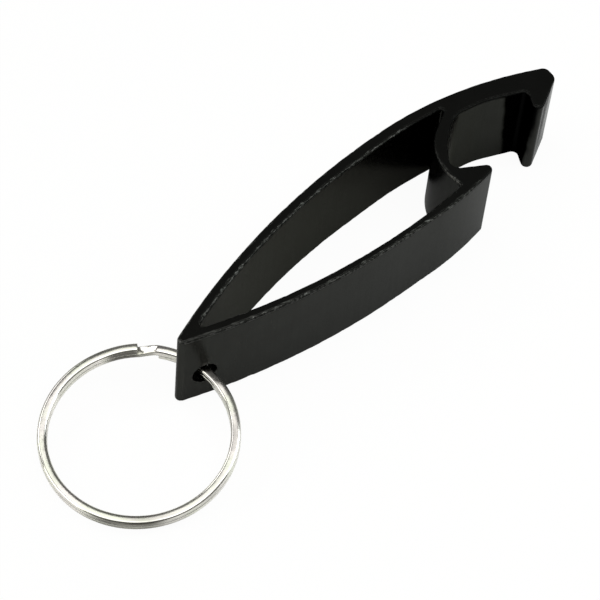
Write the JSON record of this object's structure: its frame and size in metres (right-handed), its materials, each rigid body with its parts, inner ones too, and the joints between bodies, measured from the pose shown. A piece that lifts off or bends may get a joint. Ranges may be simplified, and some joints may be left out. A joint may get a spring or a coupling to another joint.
{
  "type": "keychain bottle opener",
  "caption": "Flat leaf-shaped bottle opener cut from an extruded bar, with a hooked crown-cap pocket and a split ring through its nose.",
  "frame": {"origin": "on the back face of the slice, at the mount back_face, on the land over the cap pocket", "axes": "+X from the nose to the jaws, +Y from the lower arc to the upper arc, +Z out of the profile, along the extrusion, from the back face to the front face"},
  "size_m": [0.0924, 0.0259, 0.0127],
  "materials": {
    "anodised_black": "black anodised, satin, tumbled edges",
    "nickel_plate": "bright nickel plate on spring steel wire"
  },
  "bodies": {
    "opener": {"opener_body": "anodised_black"},
    "ring": {"split_ring": "nickel_plate"}
  },
  "joints": [
    {"name": "ring_swing", "type": "hinge", "parent": "opener", "child": "ring", "pos_m": [-0.058, -0.0042, 0.00475], "axis": [0, 1, 0], "range_deg": [-154, 159]}
  ]
}
